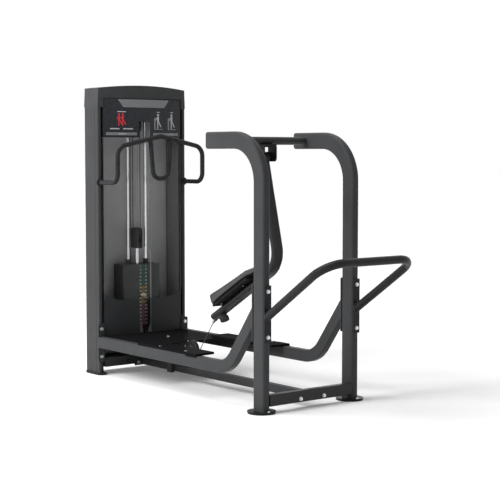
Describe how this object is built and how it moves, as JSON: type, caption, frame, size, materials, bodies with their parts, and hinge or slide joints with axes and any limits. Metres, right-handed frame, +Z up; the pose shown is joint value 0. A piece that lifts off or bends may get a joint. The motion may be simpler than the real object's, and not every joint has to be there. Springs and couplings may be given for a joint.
{
  "type": "standing rear kick machine",
  "caption": "Standing rear kick machine: a hung lever with a pad swings back against a pin-loaded weight stack through a cable, with a foot deck, handle and guard rail.",
  "frame": {"origin": "on the floor, in the middle of the overall length and width", "axes": "+X from the weight tower towards the guard rail, +Y from the near side to the far side, +Z up"},
  "size_m": [2.4448, 0.85, 1.934],
  "materials": {
    "frame_paint": "satin powder coat, dark graphite",
    "deck_paint": "semi-gloss black",
    "panel_paint": "satin",
    "bolt_steel": "bright zinc",
    "chrome": "polished",
    "cap_plastic": "fine grain",
    "smoked_plastic": "smoked, clear",
    "cover_plastic": "fine grain",
    "placard_plastic": "printed panel",
    "plate_iron": "black paint",
    "nylon": "natural",
    "pulley_nylon": "moulded",
    "cable_coat": "coated steel cable",
    "rubber": "matte",
    "vinyl": "upholstery vinyl",
    "board": "black painted plywood",
    "pin_plastic": "moulded knob"
  },
  "bodies": {
    "frame": {"near_post": "frame_paint", "far_post": "frame_paint", "crossbar": "frame_paint", "pivot_bracket": "frame_paint", "cross_member": "frame_paint", "low_beam": "frame_paint", "near_rail": "frame_paint", "far_rail": "frame_paint", "guard_rail": "frame_paint", "floor_plates": "frame_paint", "deck_supports": "frame_paint", "near_column": "frame_paint", "far_column": "frame_paint", "top_beam": "frame_paint", "base_beams": "frame_paint", "handle": "frame_paint", "floor_pulley_fork": "frame_paint", "base_pulley_fork": "frame_paint", "top_pulley_fork": "frame_paint", "deck": "deck_paint", "near_foot_plate": "deck_paint", "far_foot_plate": "deck_paint", "rear_shield": "panel_paint", "frame_bolts": "bolt_steel", "deck_screws": "bolt_steel", "guide_rods": "chrome", "pivot_shaft": "chrome", "cushion_tubes": "chrome", "end_plugs": "cap_plastic", "top_cap": "cap_plastic", "near_shield": "smoked_plastic", "far_shield": "smoked_plastic", "lower_covers": "cover_plastic", "placard": "placard_plastic", "resting_plates": "plate_iron", "arm_cable": "cable_coat", "frame_cable": "cable_coat", "stack_cable": "cable_coat", "foot_pads": "rubber", "stack_cushions": "rubber"},
    "kick_arm": {"arm_tube": "frame_paint", "arm_hub": "frame_paint", "hub_bushes": "nylon", "arm_end_cap": "frame_paint", "pad": "vinyl", "pad_board": "board", "pad_brackets": "frame_paint", "pad_screws": "bolt_steel", "bumper": "rubber"},
    "lifted_stack": {"lifted_plates": "plate_iron", "top_plate": "plate_iron", "top_plate_bushes": "nylon", "selector_stem": "chrome", "pulley_block": "frame_paint", "pulley_bight": "cable_coat"},
    "selector_pin": {"selector_pin": "pin_plastic"},
    "floor_pulley": {"floor_pulley": "pulley_nylon"},
    "base_pulley": {"base_pulley": "pulley_nylon"},
    "top_pulley": {"top_pulley": "pulley_nylon"},
    "stack_pulley": {"stack_pulley": "pulley_nylon"}
  },
  "joints": [
    {"name": "arm_swing", "type": "hinge", "parent": "frame", "child": "kick_arm", "pos_m": [0.2438, 0, 1.46], "axis": [0, -1, 0], "range_deg": [0, 50], "deforming": ["arm_cable"]},
    {"name": "stack_lift", "type": "slide", "parent": "frame", "child": "lifted_stack", "axis": [0, 0, 1], "range_m": [0, 0.432], "deforming": ["stack_cable"]},
    {"name": "pin_pull", "type": "slide", "parent": "lifted_stack", "child": "selector_pin", "axis": [1, 0, 0], "range_m": [0, 0.045]},
    {"name": "floor_pulley_spin", "type": "hinge", "parent": "frame", "child": "floor_pulley", "pos_m": [-0.4805, 0, 0.202], "axis": [0, -1, 0], "range_deg": [0, 825.3]},
    {"name": "base_pulley_spin", "type": "hinge", "parent": "frame", "child": "base_pulley", "pos_m": [-1.139, 0, 0.202], "axis": [0, -1, 0], "range_deg": [0, 825.3]},
    {"name": "top_pulley_spin", "type": "hinge", "parent": "frame", "child": "top_pulley", "pos_m": [-1.139, 0, 1.667], "axis": [0, -1, 0], "range_deg": [0, 825.3]},
    {"name": "stack_pulley_spin", "type": "hinge", "parent": "lifted_stack", "child": "stack_pulley", "pos_m": [-1.123, 0, 0.926], "axis": [0, -1, 0], "range_deg": [0, 563]}
  ],
  "couplings": [
    {"joint": "stack_lift", "follows": "arm_swing", "m_per_rad": 0.4946},
    {"joint": "floor_pulley_spin", "follows": "arm_swing", "ratio": 16.487},
    {"joint": "base_pulley_spin", "follows": "arm_swing", "ratio": 16.487},
    {"joint": "top_pulley_spin", "follows": "arm_swing", "ratio": 16.487},
    {"joint": "stack_pulley_spin", "follows": "arm_swing", "ratio": 11.241}
  ]
}
